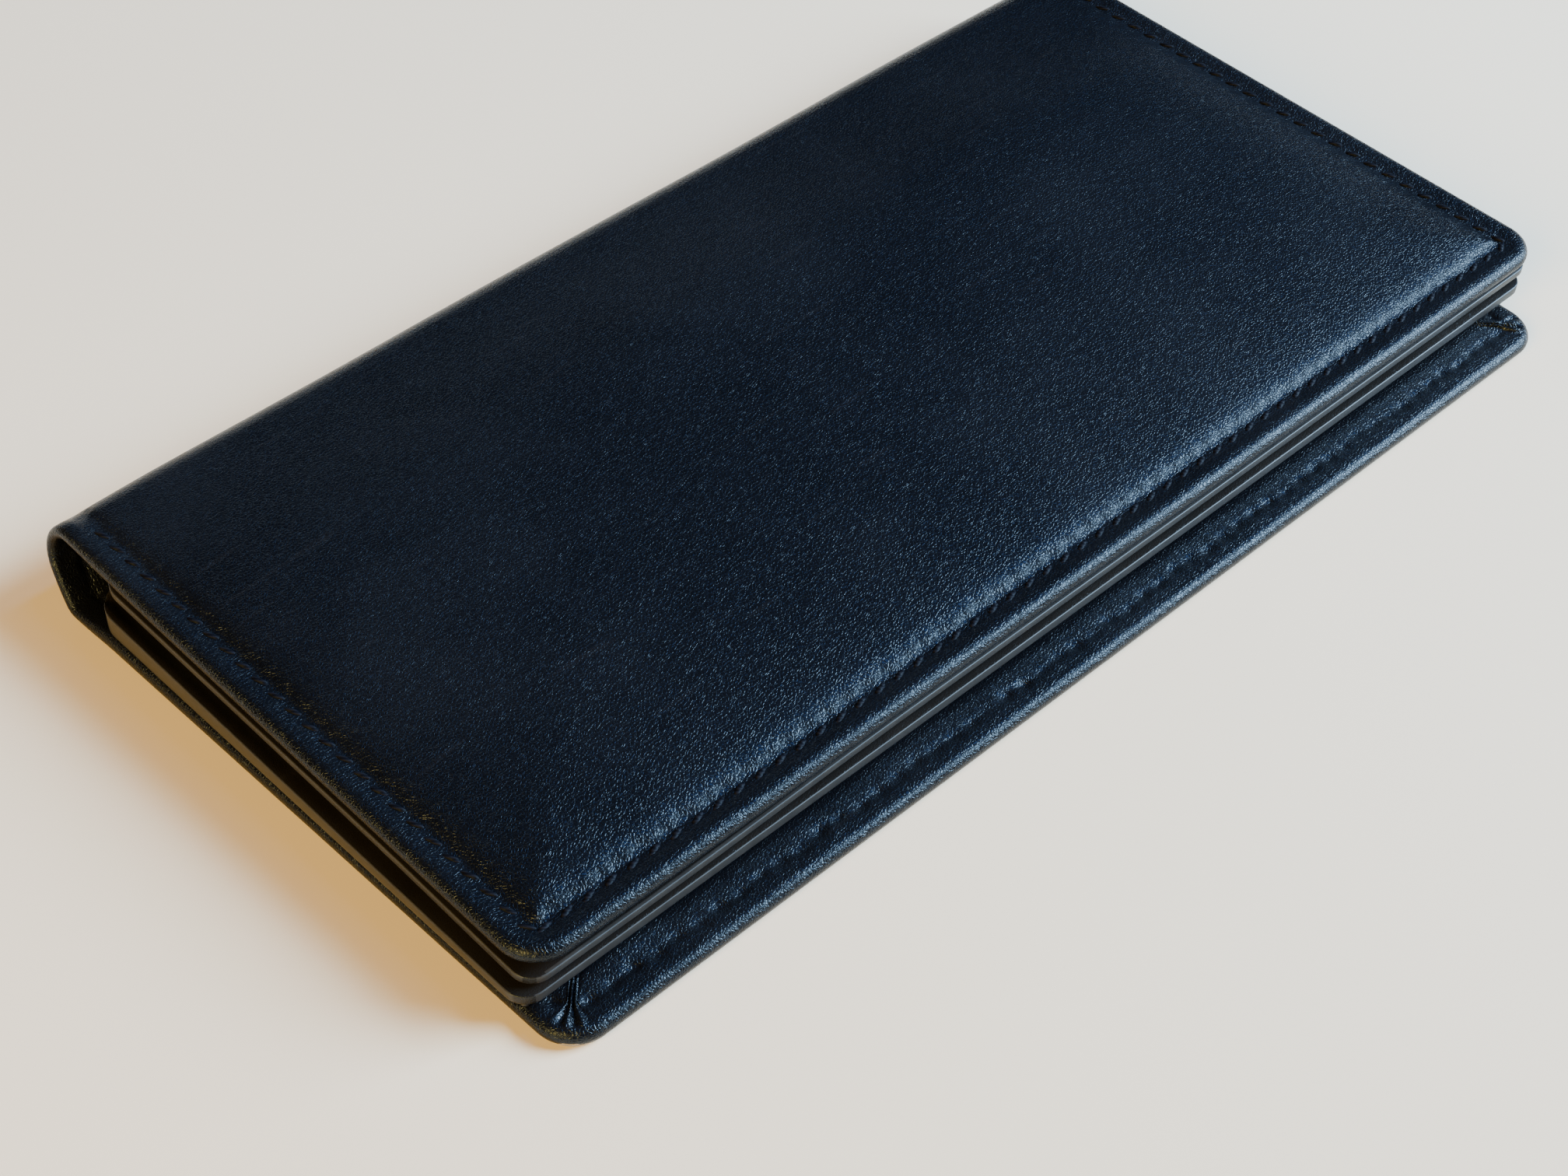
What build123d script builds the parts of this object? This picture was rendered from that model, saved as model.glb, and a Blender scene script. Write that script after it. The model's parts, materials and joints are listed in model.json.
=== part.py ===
from build123d import *
import os
from math import asin, atan2, cos, degrees, hypot, radians, sin, tan

# A long wallet, closed and lying on its lower cover. Millimetres.
# X runs along the fold, -Y is the open long edge, +Y the spine, +Z up. The origin is the bottom centre.
# Both halves are the same size. They are closed a little askew, so the lower half stands out as a ledge.

# Driving dimensions
length = 188.0              # each half, along the fold
side_shift = 1.0            # how far along X each half lies from the middle
closed_depth = 101.5        # front edge of the lower half to the outside of the spine
lower_flat = 94.75          # lower half, front edge to the start of its fold
ledge = 6.5                 # how far the lower half stands out in front of the upper half
corner_radius = 5.5         # front corners of both covers, in plan
tilt = 1.22                 # degrees by which the upper cover rises towards the spine
lower_fold_radius = 3.0     # outside of the leather
upper_fold_radius = 4.5

# Layers, from the outside of a cover to its inside
leather = 0.7
board = 0.45
lining = 0.3
slip_panel = 0.35
slip_pocket_depth = 78.0    # front edge of the cover to the mouth of the slip pocket
hem_width = 8.0             # leather turned over to the inside along three sides
edge_round = 0.9            # rounding of the turned edge

# Stitching
stitch_inset = 3.7          # row from the edge of the cover
stitch_pitch = 3.3
stitch_size = (2.5, 0.5, 0.25)
channel_width = 0.9
channel_depth = 0.3

# Inner leaves: the note divider, and the pocket front with its card slots
leaf_depth = 84.5           # front edge to the mouth of the note compartments
leaf_inset = 0.6            # leaf's edge behind the edge of the cover
leaf_front_radius = 3.0
leaf_mouth_radius = 5.0
divider_gap = 1.0           # upper cover to divider
pocket_gap = 0.9            # divider to pocket front, at the front edge
divider_panel = 0.8
divider_lining = 0.5
pocket_panel = 0.6
pocket_lining = 0.3
card_slot = 0.3
slots_per_column = 4
first_slot_depth = 76.0     # front seam to the mouth of the longest card slot
slot_step = 11.0
slot_margin = 0.9
column_gap = 0.9

gusset = 0.28               # thickness of one wall of a gusset
gusset_width = 10.0
gusset_start = 4.0          # gussets begin behind the seam strip
seam_strip = 2.4            # width of the strip along the front seam

clearance = 0.3             # between pieces that move apart
split = 0.15                # half the slit where a cover meets the spine

# Worked out
lower_thickness = 2 * leather + board + lining + slip_panel
upper_thickness = 2 * leather + board + lining
divider_thickness = divider_panel + divider_lining
slots_thickness = slots_per_column * card_slot
pocket_thickness = pocket_lining + pocket_panel + slots_thickness + stitch_size[2]
lower_front = -closed_depth / 2
upper_front = lower_front + ledge
pocket_top = lower_thickness + clearance + pocket_thickness
front_height = pocket_top + pocket_gap + divider_thickness + divider_gap + upper_thickness

# The spine's line touches both fold arcs. Angles are in the YZ plane, from +Y towards +Z.
upper_centre_y = closed_depth / 2 - upper_fold_radius
upper_run = upper_centre_y - upper_front
upper_centre_z = front_height + upper_run * tan(radians(tilt)) - upper_fold_radius / cos(radians(tilt))
lower_centre_y = lower_front + lower_flat
lower_centre_z = lower_fold_radius
across = upper_centre_y - lower_centre_y
rise = upper_centre_z - lower_centre_z
lean = degrees(atan2(rise, across)) + degrees(
    asin((lower_fold_radius - upper_fold_radius) / hypot(across, rise))
)
spine_fold = lean
cover_fold = 180 + tilt - lean

# Places of the upper half's leaves. Each is built flat, front edge at y = 0, and hangs down from z = 0.
upper_place = Location((side_shift, upper_front, front_height), (tilt, 0, 0))
divider_place = upper_place * Location((-0.4, leaf_inset, -upper_thickness - divider_gap))
pocket_place = Location((-0.6, upper_front + leaf_inset - 0.3, pocket_top))


def footprint(width, depth, inset=0.0, radius=0.0, mouth_radius=0.0):
    """Plan outline, front edge at y = inset. Only the front and the two ends are inset."""
    outline = Pos(0, (inset + depth) / 2) * Rectangle(width - 2 * inset, depth - inset)
    if radius > 0:
        outline = fillet(outline.vertices().group_by(Axis.Y)[0], radius)
    if mouth_radius > 0:
        outline = fillet(outline.vertices().group_by(Axis.Y)[-1], mouth_radius)
    return outline


def layer(outline, bottom, thickness):
    return Pos(0, 0, bottom) * extrude(outline, amount=thickness)


def round_edge(plate, depth):
    """Rounds the two outlines of a plate on its front and its ends, and leaves the spine side square."""
    sides = plate.edges().filter_by(lambda e: abs(e.center().Y - depth) > 0.01)
    flat = sides.filter_by(lambda e: abs(e.bounding_box().size.Z) < 0.01)
    return fillet(flat, edge_round)


def cover_leather(depth, thickness):
    """Outer leather of one cover: a plate with turned edges, open at the inside and at the spine."""
    plate = round_edge(layer(footprint(length, depth, 0, corner_radius), 0, thickness), depth)
    inner_radius = corner_radius - leather
    cavity = layer(footprint(length, depth, leather, inner_radius), leather, thickness - 2 * leather)
    window = layer(footprint(length, depth, hem_width, 0.5), thickness - leather, leather)
    shell = plate - cavity - window
    for bottom in (0, thickness - channel_depth):
        outside = footprint(length, depth, stitch_inset - channel_width / 2, 2.5)
        inside = footprint(length, depth, stitch_inset + channel_width / 2, 1.6)
        shell -= layer(outside - inside, bottom, channel_depth)
    return shell


def inner_layer(depth, bottom, thickness):
    """Board, lining or slip pocket: lies in the cavity of a cover leather, from the front edge to depth."""
    return layer(footprint(length, depth, leather, corner_radius - leather), bottom, thickness)


def stitch(along_x, x, y, z):
    size_x, size_y, size_z = stitch_size
    turn = 0 if along_x else 90
    return Pos(x, y, z) * Rot(0, 0, turn) * Box(size_x, size_y, size_z)


def stitch_rows(width, depth, inset, height, corner_gap=3.0):
    """One stitch after another along the front and both ends. height gives each stitch's middle."""
    stitches = []
    front_run = width - 2 * (inset + corner_gap)
    front_count = int(front_run / stitch_pitch)
    for i in range(front_count + 1):
        x = -front_run / 2 + i * front_run / front_count
        stitches.append(stitch(True, x, inset, height(inset)))
    side_run = depth - inset - 2 * corner_gap
    side_count = int(side_run / stitch_pitch)
    for i in range(side_count + 1):
        y = inset + corner_gap + i * side_run / side_count
        for side in (-1, 1):
            stitches.append(stitch(False, side * (width / 2 - inset), y, height(y)))
    return stitches


def cover_stitching(depth, thickness):
    """Thread in the channels of both faces of a cover."""
    middle = channel_depth - stitch_size[2] / 2
    return Compound(
        stitch_rows(length, depth, stitch_inset, lambda y: middle)
        + stitch_rows(length, depth, stitch_inset, lambda y: thickness - middle)
    )


def fold_band(centre_y, centre_z, outer, thickness, start, end, run=length):
    """Part of a fold: a ring sector between two directions, in degrees from +Y, run along X."""
    inner = outer - thickness
    middle = (start + end) / 2

    def point(radius, angle):
        return (centre_y + radius * cos(radians(angle)), centre_z + radius * sin(radians(angle)))

    edges = [
        ThreePointArc(point(outer, start), point(outer, middle), point(outer, end)),
        Line(point(outer, end), point(inner, end)),
        ThreePointArc(point(inner, end), point(inner, middle), point(inner, start)),
        Line(point(inner, start), point(outer, start)),
    ]
    return extrude(Plane.YZ * make_face(edges), amount=run / 2, both=True)


def spine_wall(outset_from, outset_to):
    """The spine's straight wall between the folds. Outsets are measured inwards from the outer line."""
    normal = (sin(radians(lean)), -cos(radians(lean)))

    def point(centre_y, centre_z, radius, outset):
        reach = radius - outset
        return (centre_y + normal[0] * reach, centre_z + normal[1] * reach)

    low = (lower_centre_y, lower_centre_z, lower_fold_radius)
    high = (upper_centre_y, upper_centre_z, upper_fold_radius)
    corners = [
        point(*low, outset_from),
        point(*high, outset_from),
        point(*high, outset_to),
        point(*low, outset_to),
    ]
    return extrude(Plane.YZ * make_face(Polyline(*corners, close=True)), amount=length / 2, both=True)


def slit_angle(radius):
    return degrees(split / radius)


# Directions from a fold's centre to its ends and to its middle, where a cover's half meets the spine's
lower_start = -90
lower_end = lean - 90
lower_middle = (lower_start + lower_end) / 2
upper_start = lean - 90
upper_end = 90 + tilt
upper_middle = (upper_start + upper_end) / 2


def lower_fold(outset, thickness, start, end):
    radius = lower_fold_radius - outset
    return fold_band(lower_centre_y, lower_centre_z, radius, thickness, start, end)


def upper_fold(outset, thickness, start, end):
    radius = upper_fold_radius - outset
    return fold_band(upper_centre_y, upper_centre_z, radius, thickness, start, end)


lower_slit = slit_angle(lower_fold_radius - leather - lining)
upper_slit = slit_angle(upper_fold_radius - leather - lining)


def spine_layer(outset, thickness):
    """One layer of the spine: its wall with half of each fold."""
    wall = spine_wall(outset, outset + thickness)
    low = lower_fold(outset, thickness, lower_middle + lower_slit, lower_end)
    high = upper_fold(outset, thickness, upper_start, upper_middle - upper_slit)
    return wall + low + high


# Lower cover
lower_place = Location((-side_shift, lower_front, 0))


def lower_leather_piece():
    flat = lower_place * cover_leather(lower_flat, lower_thickness)
    half_fold = Pos(-side_shift, 0, 0) * lower_fold(0, leather, lower_start, lower_middle - lower_slit)
    return flat + half_fold


def lower_layer(bottom, thickness, depth=lower_flat):
    return lower_place * inner_layer(depth, bottom, thickness)


# Upper cover, built in its own flat frame and turned over so that its outside faces up
upper_depth = upper_run / cos(radians(tilt)) - upper_fold_radius * tan(radians(tilt))
face_down = Location((0, 0, 0), (0, 180, 0))


def upper_leather_piece():
    flat = upper_place * face_down * cover_leather(upper_depth, upper_thickness)
    half_fold = Pos(side_shift, 0, 0) * upper_fold(0, leather, upper_middle + upper_slit, upper_end)
    return flat + half_fold


def upper_layer(bottom, thickness):
    return upper_place * face_down * inner_layer(upper_depth, bottom, thickness)


# Leaves
divider_width = length - 2 * leaf_inset
pocket_width = length - 0.8


def leaf(width, top, thickness):
    """One sheet of a leaf, hanging from z = top in the leaf's own frame."""
    outline = footprint(width, leaf_depth, 0, leaf_front_radius, leaf_mouth_radius)
    return layer(outline, top - thickness, thickness)


column_width = (pocket_width - column_gap) / 2 - slot_margin


def slot_panel(side, number):
    """Card slot panel, number 1 lying on the leaf and reaching furthest towards the mouth."""
    depth = first_slot_depth - (number - 1) * slot_step
    outline = Pos(0, slot_margin + depth / 2) * Rectangle(column_width, depth)
    outline = fillet(outline.vertices().group_by(Axis.Y)[-1], 1.5)
    x = side * (column_gap + column_width) / 2
    top = -pocket_lining - pocket_panel - (number - 1) * card_slot
    return pocket_place * Pos(x, 0, 0) * layer(outline, top - card_slot, card_slot)


def slots_under(y):
    """How many card slot panels lie over a place on the leaf."""
    count = 0
    for number in range(1, slots_per_column + 1):
        if y - stitch_size[0] / 2 < slot_margin + first_slot_depth - (number - 1) * slot_step:
            count += 1
    return count


def slot_stitch_height(y):
    surface = -pocket_lining - pocket_panel - slots_under(y) * card_slot
    return surface - stitch_size[2] / 2


def slot_edge_stitching():
    rows = stitch_rows(pocket_width, first_slot_depth, 2.4, slot_stitch_height)
    return pocket_place * Compound(rows)


def slot_centre_stitching():
    """The row that parts the two columns. It lies on the leaf, between the panels."""
    first = slot_margin + stitch_size[0]
    run = first_slot_depth - first
    count = int(run / stitch_pitch)
    z = -pocket_lining - pocket_panel - stitch_size[2] / 2
    row = [stitch(False, 0, first + i * run / count, z) for i in range(count + 1)]
    return pocket_place * Compound(row)


def gusset_section(outer_x, side, top, bottom):
    """Folded gusset seen along Y: two walls joined at a fold that points inwards."""
    inner_x = outer_x - side * gusset_width
    bend_x = inner_x + side * gusset
    corners = [
        (outer_x, top),
        (inner_x, top),
        (inner_x, bottom),
        (outer_x, bottom),
        (outer_x, bottom + gusset),
        (bend_x, bottom + gusset),
        (bend_x, top - gusset),
        (outer_x, top - gusset),
    ]
    return make_face(Polyline(*corners, close=True))


def gusset_solid(side, outer_x, front_gap, mouth_gap):
    """Gusset between two leaves whose gap grows from the front to the mouth. Hangs from z = 0."""
    length_y = leaf_depth - leaf_mouth_radius
    sections = []
    for y, gap in ((gusset_start, front_gap), (length_y, mouth_gap)):
        face = gusset_section(side * outer_x, side, 0, -gap)
        sections.append(Pos(0, y, 0) * Rot(90, 0, 0) * face)
    return loft(sections, ruled=True)


def seam_strip_solid(width, thickness):
    """Strip that joins two leaves along the front, hanging from z = 0."""
    outline = Pos(0, 1 + seam_strip / 2) * Rectangle(width, seam_strip)
    return layer(outline, -thickness, thickness)


gusset_edge = divider_width / 2 - 1.5
pocket_mouth_gap = pocket_gap + (leaf_depth - leaf_mouth_radius) * tan(radians(tilt))
pocket_start_gap = pocket_gap + gusset_start * tan(radians(tilt))
below_divider = divider_place * Location((0, 0, -divider_thickness))
below_cover = upper_place * Location((-0.4, leaf_inset, -upper_thickness))


def divider_gusset(side):
    gap = divider_gap - clearance
    return below_cover * gusset_solid(side, gusset_edge, gap, gap)


def pocket_gusset(side):
    front_gap = pocket_start_gap - clearance
    mouth_gap = pocket_mouth_gap - clearance
    return below_divider * gusset_solid(side, gusset_edge, front_gap, mouth_gap)


parts = {
    "lower_cover_leather": lower_leather_piece(),
    "lower_cover_board": lower_layer(leather, board),
    "lower_cover_lining": lower_layer(leather + board, lining),
    "slip_pocket_panel": lower_layer(leather + board + lining, slip_panel, slip_pocket_depth),
    "lower_cover_stitching": lower_place * cover_stitching(lower_flat, lower_thickness),
    "spine_leather": spine_layer(0, leather),
    "spine_lining": spine_layer(leather, lining),
    "upper_cover_leather": upper_leather_piece(),
    "upper_cover_board": upper_layer(leather, board),
    "upper_cover_lining": upper_layer(leather + board, lining),
    "upper_cover_stitching": upper_place * face_down * cover_stitching(upper_depth, upper_thickness),
    "divider_seam_strip": below_cover * seam_strip_solid(divider_width - 16, divider_gap - clearance),
    "note_divider_panel": divider_place * leaf(divider_width, 0, divider_panel),
    "note_divider_lining": divider_place * leaf(divider_width, -divider_panel, divider_lining),
    "pocket_seam_strip": below_divider * seam_strip_solid(divider_width - 16, pocket_gap - clearance),
    "pocket_front_lining": pocket_place * leaf(pocket_width, 0, pocket_lining),
    "pocket_front_panel": pocket_place * leaf(pocket_width, -pocket_lining, pocket_panel),
    "card_slot_centre_stitching": slot_centre_stitching(),
    "card_slot_edge_stitching": slot_edge_stitching(),
}
for side, side_name in ((-1, "left"), (1, "right")):
    parts[side_name + "_divider_gusset"] = divider_gusset(side)
    parts[side_name + "_pocket_gusset"] = pocket_gusset(side)
    for number in range(1, slots_per_column + 1):
        parts[f"card_slot_{side_name}_{number}"] = slot_panel(side, number)


def fold_axis(centre_y, centre_z, radius, start, fold):
    """Point about which a fold opens flat while its outer leather keeps its length."""
    half = radians(fold / 2)
    reach = radius * half / sin(half)
    direction = radians(start + fold / 2)
    return (0, centre_y + reach * cos(direction), centre_z + reach * sin(direction))


def rounded(point):
    return tuple(round(value, 4) for value in point)


divider_hinge = (upper_place * Location((0, leaf_inset, -upper_thickness - divider_gap / 2))).position
pocket_hinge = (0, upper_front + leaf_inset - 0.3, pocket_top + pocket_gap / 2)
print("spine fold", round(spine_fold, 3), "cover fold", round(cover_fold, 3))
lower_axis = fold_axis(lower_centre_y, lower_centre_z, lower_fold_radius, lower_start, spine_fold)
upper_axis = fold_axis(upper_centre_y, upper_centre_z, upper_fold_radius, upper_start, cover_fold)
print("lower fold axis", rounded(lower_axis))
print("upper fold axis", rounded(upper_axis))
print("divider hinge", rounded((0, divider_hinge.Y, divider_hinge.Z)), "pocket hinge", rounded(pocket_hinge))

os.makedirs("parts", exist_ok=True)
for name, shape in parts.items():
    export_step(shape, f"parts/{name}.step")
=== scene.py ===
import json
from math import atan2, cos, exp, floor, hypot, pi, radians, sin, sqrt

import bmesh
import bpy
from mathutils import Matrix, Vector, noise


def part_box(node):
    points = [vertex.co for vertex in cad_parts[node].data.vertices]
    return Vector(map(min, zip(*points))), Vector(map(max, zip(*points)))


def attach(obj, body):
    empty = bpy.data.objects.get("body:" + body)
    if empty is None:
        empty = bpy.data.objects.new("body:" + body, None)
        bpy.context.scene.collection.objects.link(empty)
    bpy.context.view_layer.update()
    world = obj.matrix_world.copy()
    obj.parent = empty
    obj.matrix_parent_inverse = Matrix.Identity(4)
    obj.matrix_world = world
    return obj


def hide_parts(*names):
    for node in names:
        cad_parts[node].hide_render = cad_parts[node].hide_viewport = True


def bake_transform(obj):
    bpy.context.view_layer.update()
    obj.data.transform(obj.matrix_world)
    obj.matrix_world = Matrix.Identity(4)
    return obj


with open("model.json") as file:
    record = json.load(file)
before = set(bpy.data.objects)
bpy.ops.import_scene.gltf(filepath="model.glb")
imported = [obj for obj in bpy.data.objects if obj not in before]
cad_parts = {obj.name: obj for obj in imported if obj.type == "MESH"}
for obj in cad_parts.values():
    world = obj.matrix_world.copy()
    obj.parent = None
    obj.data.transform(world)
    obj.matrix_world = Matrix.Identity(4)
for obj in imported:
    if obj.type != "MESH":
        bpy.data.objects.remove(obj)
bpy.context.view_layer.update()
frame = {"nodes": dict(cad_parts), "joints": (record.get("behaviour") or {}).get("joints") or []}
nodes = frame["nodes"]
joints = {joint["name"]: joint for joint in frame["joints"]}
scene = bpy.context.scene
mm = 0.001
print("frame loaded,", len(nodes), "nodes")


def smooth(value):
    value = min(max(value, 0.0), 1.0)
    return value * value * (3 - 2 * value)


def ridge(value, middle, width):
    return exp(-(((value - middle) / width) ** 2))


def wander(x, y, scale, seed=0.0):  # soft noise, about -1 to 1
    return noise.noise(Vector((x / scale + seed, y / scale - seed, seed * 0.37)))


def applyModifiers(piece):
    depsgraph = bpy.context.evaluated_depsgraph_get()
    finished = bpy.data.meshes.new_from_object(piece.evaluated_get(depsgraph))
    finished.name = piece.name
    piece.modifiers.clear()
    piece.data = finished


def newPiece(bm, name, material, slotName, sharpAngle=55):
    mesh = bpy.data.meshes.new(name)
    bm.to_mesh(mesh)
    bm.free()
    mesh.materials.append(material)
    piece = bpy.data.objects.new(name, mesh)
    scene.collection.objects.link(piece)
    finishShading(piece, sharpAngle)
    return piece


def finishShading(piece, sharpAngle):
    piece.data.shade_smooth()
    piece.data.set_sharp_from_angle(angle=radians(sharpAngle))


# The outer leather's line runs from the lower front edge round the spine to the upper front edge.
folds = {
    "lowerRadius": 3.0 * mm,  # outside of the leather
    "upperRadius": 4.5 * mm,
    "skew": 1.0 * mm,         # each half lies this far off centre along the fold
    "frontLeftIn": 1.5 * mm,  # the lower cover's front corners are drawn in
    "frontRightIn": 4.2 * mm,
}
lean = radians(joints["spine_fold"]["range_deg"][1])
upperTurn = radians(joints["cover_fold"]["range_deg"][1])
tilt = lean + upperTurn - pi


def foldCentre(jointName, radius, start, turn):  # back from the hinge line to the middle of the bend
    _, y, z = joints[jointName]["pos_m"]
    reach = radius * (turn / 2) / sin(turn / 2)
    return y - reach * cos(start + turn / 2), z - reach * sin(start + turn / 2)


lowerCentre = foldCentre("spine_fold", folds["lowerRadius"], -pi / 2, lean)
upperCentre = foldCentre("cover_fold", folds["upperRadius"], lean - pi / 2, upperTurn)
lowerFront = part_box("lower_cover_leather")[0].y
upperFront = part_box("upper_cover_leather")[0].y
normalAngle = lean - pi / 2
wallStart = (
    lowerCentre[0] + folds["lowerRadius"] * cos(normalAngle),
    lowerCentre[1] + folds["lowerRadius"] * sin(normalAngle),
)
wallEnd = (
    upperCentre[0] + folds["upperRadius"] * cos(normalAngle),
    upperCentre[1] + folds["upperRadius"] * sin(normalAngle),
)
upperFlat = (upperCentre[0] - folds["upperRadius"] * sin(tilt) - upperFront) / cos(tilt)
runs = [
    lowerCentre[0] - lowerFront,
    folds["lowerRadius"] * lean,
    hypot(wallEnd[0] - wallStart[0], wallEnd[1] - wallStart[1]),
    folds["upperRadius"] * upperTurn,
    upperFlat,
]
marks = [sum(runs[:count]) for count in range(1, 6)]
wholeRun = marks[4]
spineMiddle = marks[1] + runs[2] / 2
print("leather line", [round(mark / mm, 2) for mark in marks], "mm")


def linePoint(s):  # place on the leather's outside, and the direction inwards
    if s <= marks[0]:
        return lowerFront + s, 0.0, 0.0, 1.0
    if s <= marks[1]:
        angle = -pi / 2 + (s - marks[0]) / folds["lowerRadius"]
        y = lowerCentre[0] + folds["lowerRadius"] * cos(angle)
        z = lowerCentre[1] + folds["lowerRadius"] * sin(angle)
        return y, z, -cos(angle), -sin(angle)
    if s <= marks[2]:
        along = s - marks[1]
        y, z = wallStart[0] + along * cos(lean), wallStart[1] + along * sin(lean)
        return y, z, -cos(normalAngle), -sin(normalAngle)
    if s <= marks[3]:
        angle = normalAngle + (s - marks[2]) / folds["upperRadius"]
        y = upperCentre[0] + folds["upperRadius"] * cos(angle)
        z = upperCentre[1] + folds["upperRadius"] * sin(angle)
        return y, z, -cos(angle), -sin(angle)
    angle = pi / 2 + tilt
    along = s - marks[3]
    y = upperCentre[0] + folds["upperRadius"] * cos(angle) - along * cos(tilt)
    z = upperCentre[1] + folds["upperRadius"] * sin(angle) - along * sin(tilt)
    return y, z, -cos(angle), -sin(angle)


def skewAt(s):
    return folds["skew"] * (2 * smooth((s - marks[0]) / (marks[3] - marks[0])) - 1)


def coverPoint(x, s, height):  # height is out from the leather's outside
    y, z, inY, inZ = linePoint(s)
    toFront = max(1 - s / marks[0], 0.0)
    share = min(max(x / coverWidth + 0.5, 0.0), 1.0)
    drawnIn = toFront * (folds["frontLeftIn"] * (1 - share) ** 2 - folds["frontRightIn"] * share**2)
    return Vector((x + skewAt(s) + drawnIn, y - inY * height, z - inZ * height))


def nodeGroup(name, inputs, outputs):
    group = bpy.data.node_groups.new(name, "ShaderNodeTree")
    for label, kind, value in inputs:
        socket = group.interface.new_socket(label, in_out="INPUT", socket_type="NodeSocket" + kind)
        if value is not None:
            socket.default_value = value
    for label, kind in outputs:
        group.interface.new_socket(label, in_out="OUTPUT", socket_type="NodeSocket" + kind)
    return group, group.nodes.new("NodeGroupInput"), group.nodes.new("NodeGroupOutput")


def addNode(tree, kind, **settings):
    node = tree.nodes.new("ShaderNode" + kind)
    for key, value in settings.items():
        setattr(node, key, value)
    return node


def mathNode(tree, operation, first, second=None):
    node = addNode(tree, "Math", operation=operation)
    for socket, value in zip(node.inputs, (first, second)):
        if value is None:
            continue
        if isinstance(value, (int, float)):
            socket.default_value = value
        else:
            tree.links.new(value, socket)
    return node.outputs[0]


def makeGrainGroup():  # pebbles with creases between them, and a slow swell under both
    group, given, result = nodeGroup(
        "leatherGrain",
        [
            ("Vector", "Vector", None),
            ("Pebble", "Float", 2300.0),
            ("Swell", "Float", 160.0),
            ("Creases", "Float", 0.5),
        ],
        [("Height", "Float"), ("Valleys", "Float"), ("Patches", "Float")],
    )
    link = group.links.new
    wobble = addNode(group, "TexNoise")
    wobble.inputs["Scale"].default_value = 900
    wobble.inputs["Detail"].default_value = 2
    link(given.outputs["Vector"], wobble.inputs["Vector"])
    shift = addNode(group, "VectorMath", operation="SCALE")
    shift.inputs["Scale"].default_value = 0.0007
    link(wobble.outputs["Color"], shift.inputs[0])
    place = addNode(group, "VectorMath", operation="ADD")
    link(given.outputs["Vector"], place.inputs[0])
    link(shift.outputs[0], place.inputs[1])
    pebbles = addNode(group, "TexVoronoi", feature="DISTANCE_TO_EDGE")
    link(place.outputs[0], pebbles.inputs["Vector"])
    link(given.outputs["Pebble"], pebbles.inputs["Scale"])
    valley = addNode(group, "MapRange", interpolation_type="SMOOTHSTEP")
    valley.inputs["From Max"].default_value = 0.22
    link(pebbles.outputs["Distance"], valley.inputs["Value"])
    creaseNoise = addNode(group, "TexNoise", noise_type="RIDGED_MULTIFRACTAL")
    creaseNoise.inputs["Detail"].default_value = 3
    creaseNoise.inputs["Scale"].default_value = 420
    stretch = addNode(group, "Mapping")
    stretch.inputs["Rotation"].default_value = (0, 0, radians(28))
    stretch.inputs["Scale"].default_value = (0.55, 1.5, 1)
    link(given.outputs["Vector"], stretch.inputs["Vector"])
    link(stretch.outputs[0], creaseNoise.inputs["Vector"])
    swell = addNode(group, "TexNoise")
    swell.inputs["Detail"].default_value = 3
    link(given.outputs["Vector"], swell.inputs["Vector"])
    link(given.outputs["Swell"], swell.inputs["Scale"])
    creases = mathNode(group, "MULTIPLY", creaseNoise.outputs[0], given.outputs["Creases"])
    height = mathNode(group, "ADD", valley.outputs["Result"], creases)
    height = mathNode(group, "ADD", height, mathNode(group, "MULTIPLY", swell.outputs[0], 1.4))
    link(height, result.inputs["Height"])
    link(mathNode(group, "SUBTRACT", 1.0, valley.outputs["Result"]), result.inputs["Valleys"])
    link(swell.outputs[0], result.inputs["Patches"])
    return group


def makeScuffGroup():  # a few faint scratches and rubbed places
    group, given, result = nodeGroup(
        "handlingScuffs",
        [("Vector", "Vector", None), ("Density", "Float", 0.5)],
        [("Scratches", "Float"), ("Rubbed", "Float")],
    )
    link = group.links.new
    turned = addNode(group, "Mapping")
    turned.inputs["Rotation"].default_value = (0, 0, radians(-35))
    turned.inputs["Scale"].default_value = (60, 700, 60)
    link(given.outputs["Vector"], turned.inputs["Vector"])
    lines = addNode(group, "TexNoise")
    lines.inputs["Scale"].default_value = 1
    lines.inputs["Detail"].default_value = 1
    link(turned.outputs[0], lines.inputs["Vector"])
    cut = addNode(group, "MapRange")
    cut.inputs["From Min"].default_value = 0.69
    cut.inputs["From Max"].default_value = 0.75
    link(lines.outputs[0], cut.inputs["Value"])
    scratches = mathNode(group, "MULTIPLY", cut.outputs["Result"], given.outputs["Density"])
    link(scratches, result.inputs["Scratches"])
    patches = addNode(group, "TexNoise")
    patches.inputs["Scale"].default_value = 35
    patches.inputs["Detail"].default_value = 4
    link(given.outputs["Vector"], patches.inputs["Vector"])
    spread = addNode(group, "MapRange", interpolation_type="SMOOTHSTEP")
    spread.inputs["From Min"].default_value = 0.4
    spread.inputs["From Max"].default_value = 0.75
    link(patches.outputs[0], spread.inputs["Value"])
    link(spread.outputs["Result"], result.inputs["Rubbed"])
    return group


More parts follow.
